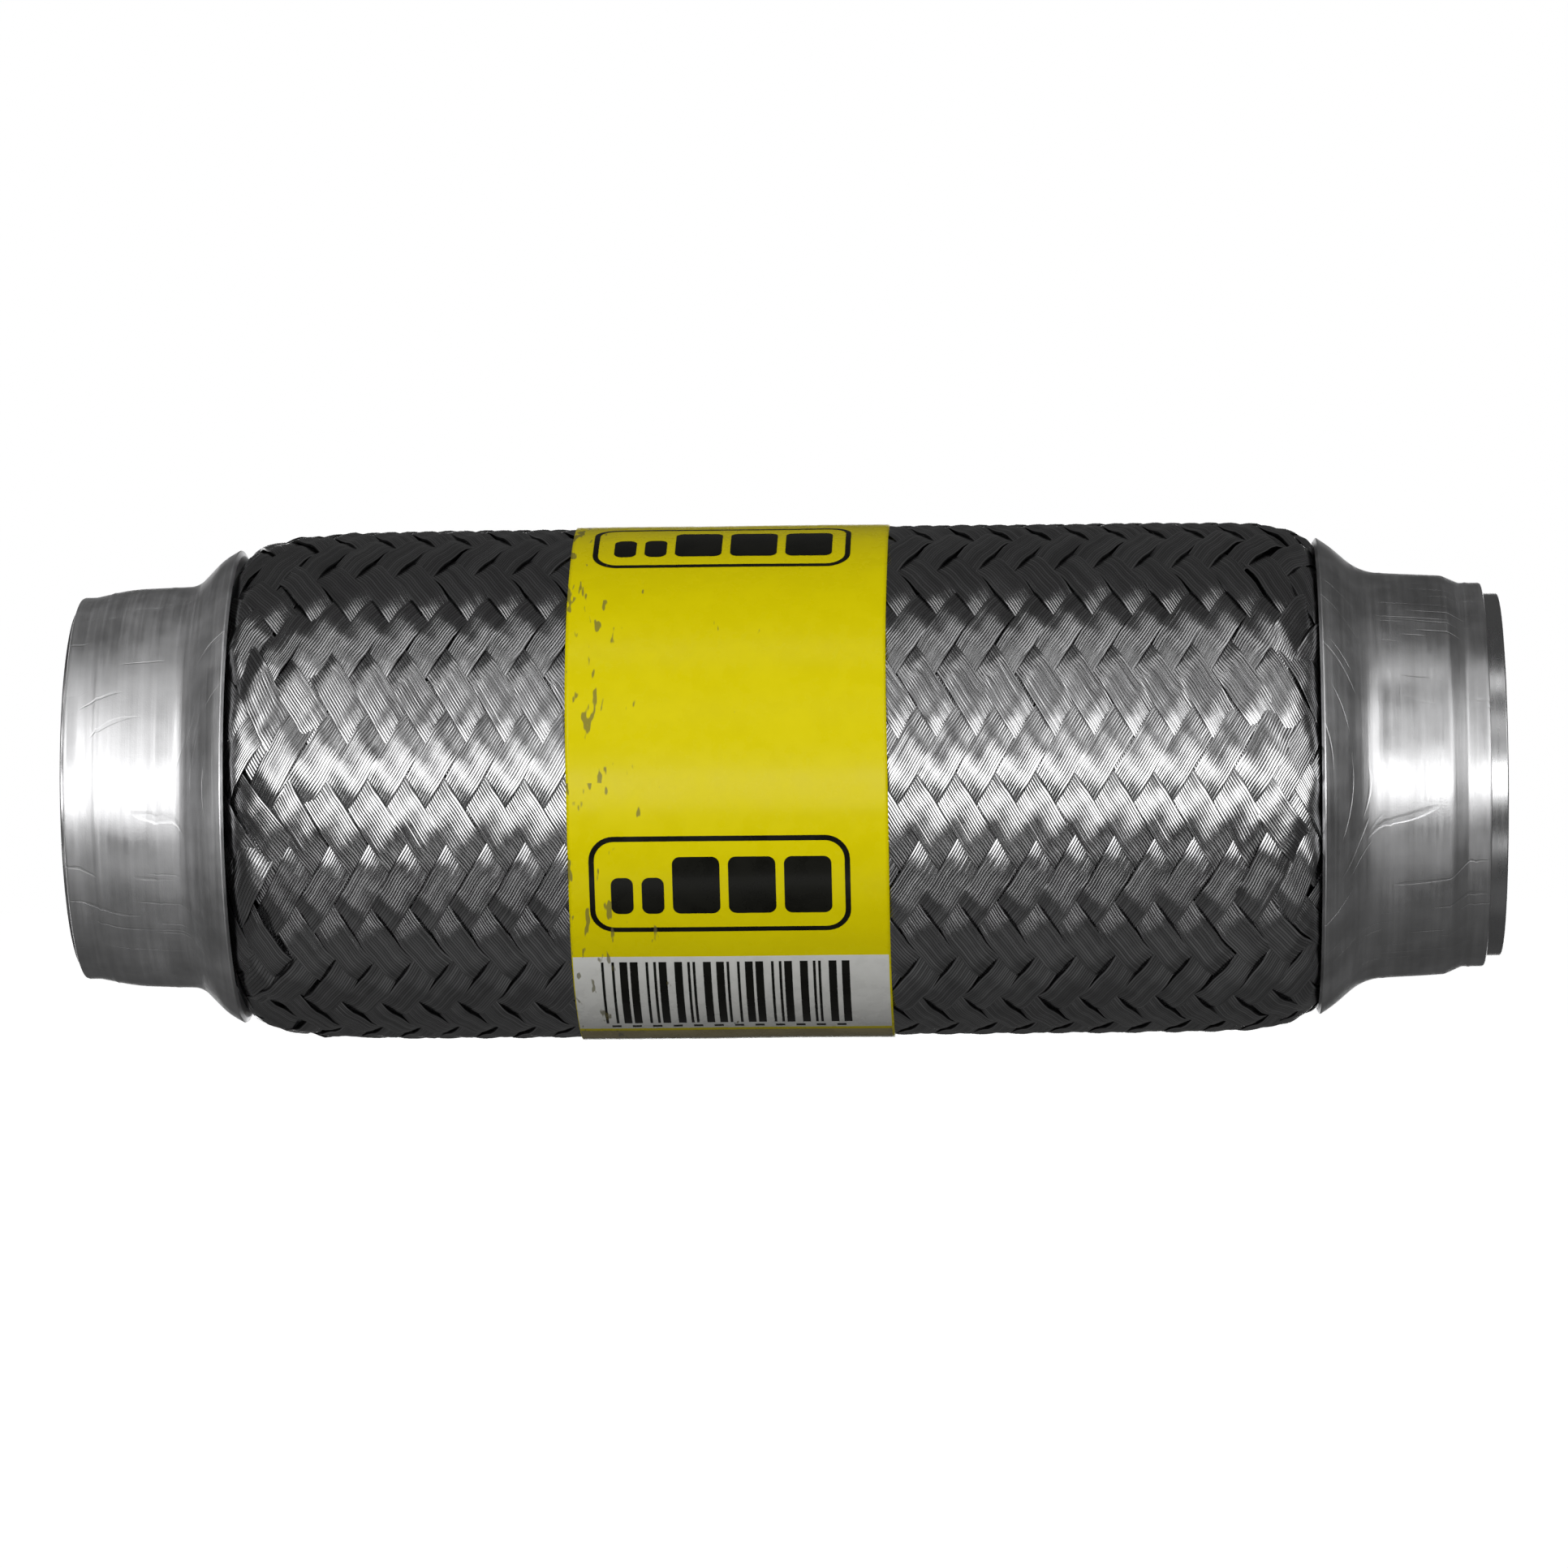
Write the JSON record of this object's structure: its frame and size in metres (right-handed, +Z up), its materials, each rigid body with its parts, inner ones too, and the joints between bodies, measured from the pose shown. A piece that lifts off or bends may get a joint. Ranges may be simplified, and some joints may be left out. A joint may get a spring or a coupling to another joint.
{
  "type": "braided flexible pipe coupling",
  "caption": "Flexible metal pipe coupling with a bellows and an interlocked liner inside a woven wire sleeve, two stamped end collars and a yellow label band.",
  "frame": {"origin": "middle of the pipe axis, halfway between the two end rings", "axes": "+X along the pipe axis towards the outlet end, +Z up, the printed side of the label faces -Y"},
  "size_m": [0.2032, 0.0734, 0.0734],
  "materials": {
    "collar_steel": "stamped steel sheet, satin with drawing marks",
    "ring_steel": "turned and polished",
    "bellows_steel": "bright rolled strip",
    "braid_wire": "bright drawn wire, woven",
    "liner_steel": "rolled strip, slightly oiled",
    "label_film": "glossy printed film"
  },
  "bodies": {
    "inlet_end": {"inlet_collar": "collar_steel", "inlet_end_ring": "ring_steel", "liner_turn_01": "liner_steel"},
    "segment_01": {"liner_turn_02": "liner_steel"},
    "segment_02": {"liner_turn_03": "liner_steel"},
    "segment_03": {"liner_turn_04": "liner_steel"},
    "segment_04": {"liner_turn_05": "liner_steel"},
    "segment_05": {"liner_turn_06": "liner_steel"},
    "segment_06": {"liner_turn_07": "liner_steel", "bellows_inner_ply": "bellows_steel", "bellows_outer_ply": "bellows_steel", "outer_braid": "braid_wire", "label_band": "label_film"},
    "segment_07": {"liner_turn_08": "liner_steel"},
    "segment_08": {"liner_turn_09": "liner_steel"},
    "segment_09": {"liner_turn_10": "liner_steel"},
    "segment_10": {"liner_turn_11": "liner_steel"},
    "segment_11": {"liner_turn_12": "liner_steel"},
    "outlet_end": {"outlet_collar": "collar_steel", "outlet_end_ring": "ring_steel", "liner_turn_13": "liner_steel"}
  },
  "joints": [
    {"name": "stroke_1", "type": "slide", "parent": "inlet_end", "child": "segment_01", "axis": [1, 0, 0], "range_m": [-0.0025, 0.00125], "stiffness_N_per_m": 60000},
    {"name": "inlet_vertical_bend_1", "type": "hinge", "parent": "segment_01", "child": "segment_02", "pos_m": [-0.05198, 0, 0], "axis": [0, -1, 0], "range_deg": [-3.5, 3.5], "stiffness_Nm_per_rad": 240, "deforming": ["bellows_inner_ply", "bellows_outer_ply", "outer_braid", "label_band"]},
    {"name": "inlet_sideways_bend_1", "type": "hinge", "parent": "segment_02", "child": "segment_03", "pos_m": [-0.04043, 0, 0], "axis": [0, 0, 1], "range_deg": [-3.5, 3.5], "stiffness_Nm_per_rad": 240},
    {"name": "stroke_2", "type": "slide", "parent": "segment_03", "child": "segment_04", "axis": [1, 0, 0], "range_m": [-0.0025, 0.00125], "stiffness_N_per_m": 60000},
    {"name": "inlet_vertical_bend_2", "type": "hinge", "parent": "segment_04", "child": "segment_05", "pos_m": [-0.01733, 0, 0], "axis": [0, -1, 0], "range_deg": [-3.5, 3.5], "stiffness_Nm_per_rad": 240},
    {"name": "inlet_sideways_bend_2", "type": "hinge", "parent": "segment_05", "child": "segment_06", "pos_m": [-0.00577, 0, 0], "axis": [0, 0, 1], "range_deg": [-3.5, 3.5], "stiffness_Nm_per_rad": 240},
    {"name": "outlet_sideways_bend_1", "type": "hinge", "parent": "segment_06", "child": "segment_07", "pos_m": [0.00577, 0, 0], "axis": [0, 0, 1], "range_deg": [-3.5, 3.5], "stiffness_Nm_per_rad": 240},
    {"name": "outlet_vertical_bend_1", "type": "hinge", "parent": "segment_07", "child": "segment_08", "pos_m": [0.01733, 0, 0], "axis": [0, -1, 0], "range_deg": [-3.5, 3.5], "stiffness_Nm_per_rad": 240},
    {"name": "stroke_3", "type": "slide", "parent": "segment_08", "child": "segment_09", "axis": [1, 0, 0], "range_m": [-0.0025, 0.00125], "stiffness_N_per_m": 60000},
    {"name": "outlet_sideways_bend_2", "type": "hinge", "parent": "segment_09", "child": "segment_10", "pos_m": [0.04043, 0, 0], "axis": [0, 0, 1], "range_deg": [-3.5, 3.5], "stiffness_Nm_per_rad": 240},
    {"name": "outlet_vertical_bend_2", "type": "hinge", "parent": "segment_10", "child": "segment_11", "pos_m": [0.05198, 0, 0], "axis": [0, -1, 0], "range_deg": [-3.5, 3.5], "stiffness_Nm_per_rad": 240},
    {"name": "stroke_4", "type": "slide", "parent": "segment_11", "child": "outlet_end", "axis": [1, 0, 0], "range_m": [-0.0025, 0.00125], "stiffness_N_per_m": 60000}
  ],
  "couplings": [
    {"joint": "stroke_2", "follows": "stroke_1", "ratio": 1},
    {"joint": "inlet_vertical_bend_2", "follows": "inlet_vertical_bend_1", "ratio": 1},
    {"joint": "inlet_sideways_bend_2", "follows": "inlet_sideways_bend_1", "ratio": 1},
    {"joint": "stroke_3", "follows": "stroke_1", "ratio": 1},
    {"joint": "outlet_sideways_bend_2", "follows": "outlet_sideways_bend_1", "ratio": 1},
    {"joint": "outlet_vertical_bend_2", "follows": "outlet_vertical_bend_1", "ratio": 1},
    {"joint": "stroke_4", "follows": "stroke_1", "ratio": 1}
  ]
}
